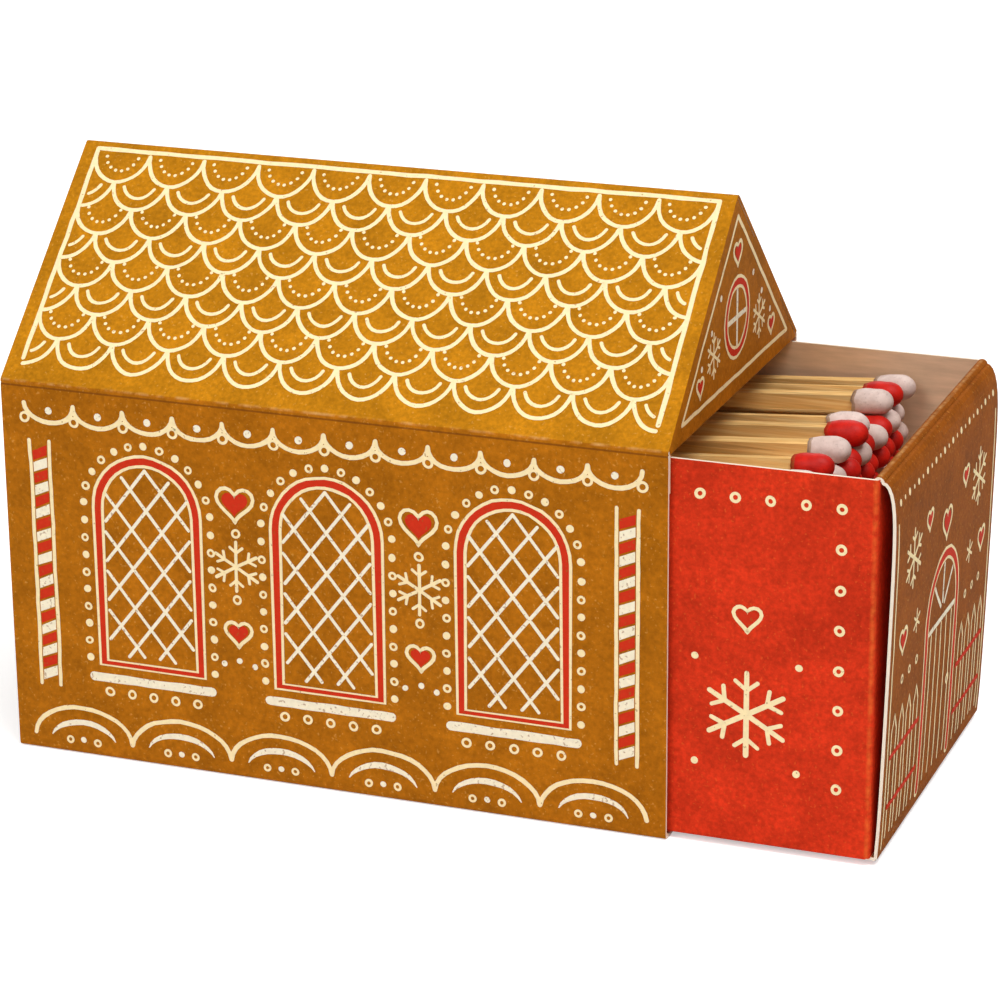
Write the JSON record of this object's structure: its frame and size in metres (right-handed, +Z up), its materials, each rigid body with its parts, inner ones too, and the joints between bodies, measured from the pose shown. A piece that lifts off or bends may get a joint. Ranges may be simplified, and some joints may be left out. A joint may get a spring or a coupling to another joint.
{
  "type": "matchbox",
  "caption": "House-shaped card matchbox: a printed sleeve with a gabled roof, and a card tray of long wooden matches with red and white heads that slides out under the gable.",
  "frame": {"origin": "middle of the sleeve's underside", "axes": "+X is the way the tray opens, along the ridge; -Y is out of the long front wall; +Z is up"},
  "size_m": [0.1441, 0.066, 0.0927],
  "materials": {
    "printed_card": "printed golden-brown board, satin, off-white and red line work",
    "red_card": "printed orange-red outside, plain grey-brown board inside",
    "match_stick": "bare split softwood",
    "head_red": "dried red match composition, dull",
    "head_white": "dried off-white match composition, dull"
  },
  "bodies": {
    "sleeve": {"sleeve": "printed_card"},
    "tray": {"tray": "red_card", "lower_matches": "match_stick", "match_01_head": "head_red", "match_01_stick": "match_stick", "match_02_head": "head_white", "match_02_stick": "match_stick", "match_03_head": "head_red", "match_03_stick": "match_stick", "match_04_head": "head_white", "match_04_stick": "match_stick", "match_05_head": "head_red", "match_05_stick": "match_stick", "match_06_head": "head_white", "match_06_stick": "match_stick", "match_07_head": "head_white", "match_07_stick": "match_stick", "match_08_head": "head_red", "match_08_stick": "match_stick", "match_09_head": "head_white", "match_09_stick": "match_stick", "match_10_head": "head_red", "match_10_stick": "match_stick", "match_11_head": "head_white", "match_11_stick": "match_stick", "match_12_head": "head_red", "match_12_stick": "match_stick", "match_13_head": "head_red", "match_13_stick": "match_stick", "match_14_head": "head_white", "match_14_stick": "match_stick", "match_15_head": "head_red", "match_15_stick": "match_stick", "match_16_head": "head_red", "match_16_stick": "match_stick", "match_17_head": "head_white", "match_17_stick": "match_stick", "match_18_head": "head_red", "match_18_stick": "match_stick", "match_19_head": "head_white", "match_19_stick": "match_stick", "match_20_head": "head_red", "match_20_stick": "match_stick", "match_21_head": "head_white", "match_21_stick": "match_stick", "match_22_head": "head_white", "match_22_stick": "match_stick"}
  },
  "joints": [
    {"name": "tray_slide", "type": "slide", "parent": "sleeve", "child": "tray", "axis": [1, 0, 0], "range_m": [-0.0325, 0.07]}
  ]
}
